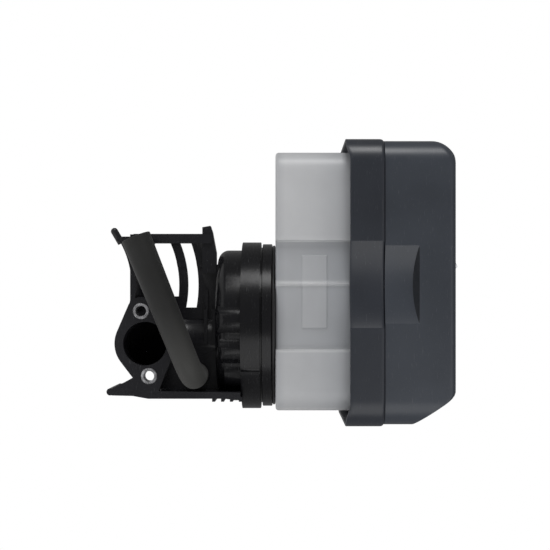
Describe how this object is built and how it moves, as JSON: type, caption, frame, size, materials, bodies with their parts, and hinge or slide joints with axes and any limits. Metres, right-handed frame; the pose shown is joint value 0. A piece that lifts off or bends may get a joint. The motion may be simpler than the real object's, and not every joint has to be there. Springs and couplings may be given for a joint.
{
  "type": "air filter housing",
  "caption": "Oil-bath air filter housing for a small engine: elbow with carburettor flange, clear bowl, skirted cover, deep cap and wing nut.",
  "frame": {"origin": "centre of the intake bore on the carburettor flange face", "axes": "+Z from the flange towards the wing nut, -Y out of the flange face, +X towards the low side of the bowl"},
  "size_m": [0.1856, 0.1306, 0.2317],
  "materials": {
    "black_plastic": "satin moulded",
    "cover_plastic": "satin moulded",
    "clear_bowl": "translucent natural plastic",
    "inner_plastic": "moulded",
    "tube_rubber": "matt moulded rubber",
    "rubber": "matt",
    "foam": "open-cell foam",
    "steel": "zinc plated"
  },
  "bodies": {
    "elbow": {"intake_duct": "black_plastic", "drum": "black_plastic", "bottom_bracket": "black_plastic", "side_bracket": "black_plastic", "control_panel": "black_plastic", "flange_collars": "steel", "centre_stud": "steel", "stud_washer": "steel", "stud_lock_nut": "steel", "seat_ring": "black_plastic", "seat_gasket": "rubber"},
    "tube": {"breather_tube": "tube_rubber"},
    "bowl": {"oil_bowl": "clear_bowl"},
    "element": {"element_holder": "inner_plastic", "lower_grid": "inner_plastic", "filter_element": "foam", "upper_grid": "inner_plastic", "grid_screws": "steel", "chimney_seal": "rubber", "deck_gasket": "rubber"},
    "cover": {"air_cleaner_cover": "cover_plastic", "cap_seal": "rubber"},
    "cap": {"air_cleaner_cap": "cover_plastic", "stud_grommet": "rubber"},
    "washer": {"nut_washer": "steel"},
    "nut": {"wing_nut": "steel"}
  },
  "joints": [
    {"name": "tube_swivel", "type": "hinge", "parent": "elbow", "child": "tube", "pos_m": [0.0211, 0, 0.0313], "axis": [0, 1, 0], "range_deg": [-12, 32]},
    {"name": "bowl_lift", "type": "slide", "parent": "elbow", "child": "bowl", "axis": [0, 0, 1], "range_m": [0, 0.125]},
    {"name": "element_lift", "type": "slide", "parent": "bowl", "child": "element", "axis": [0, 0, 1], "range_m": [0, 0.062]},
    {"name": "cover_lift", "type": "slide", "parent": "element", "child": "cover", "axis": [0, 0, 1], "range_m": [0, 0.03]},
    {"name": "cap_lift", "type": "slide", "parent": "cover", "child": "cap", "axis": [0, 0, 1], "range_m": [0, 0.058]},
    {"name": "nut_rise", "type": "slide", "parent": "cap", "child": "washer", "axis": [0, 0, 1], "range_m": [0, 0.0101]},
    {"name": "wing_nut_turn", "type": "hinge", "parent": "washer", "child": "nut", "pos_m": [-0.039, 0.05, 0.2], "axis": [0, 0, 1], "range_deg": [0, 3600]}
  ],
  "couplings": [
    {"joint": "nut_rise", "follows": "wing_nut_turn", "m_per_rad": 0.00015915}
  ]
}
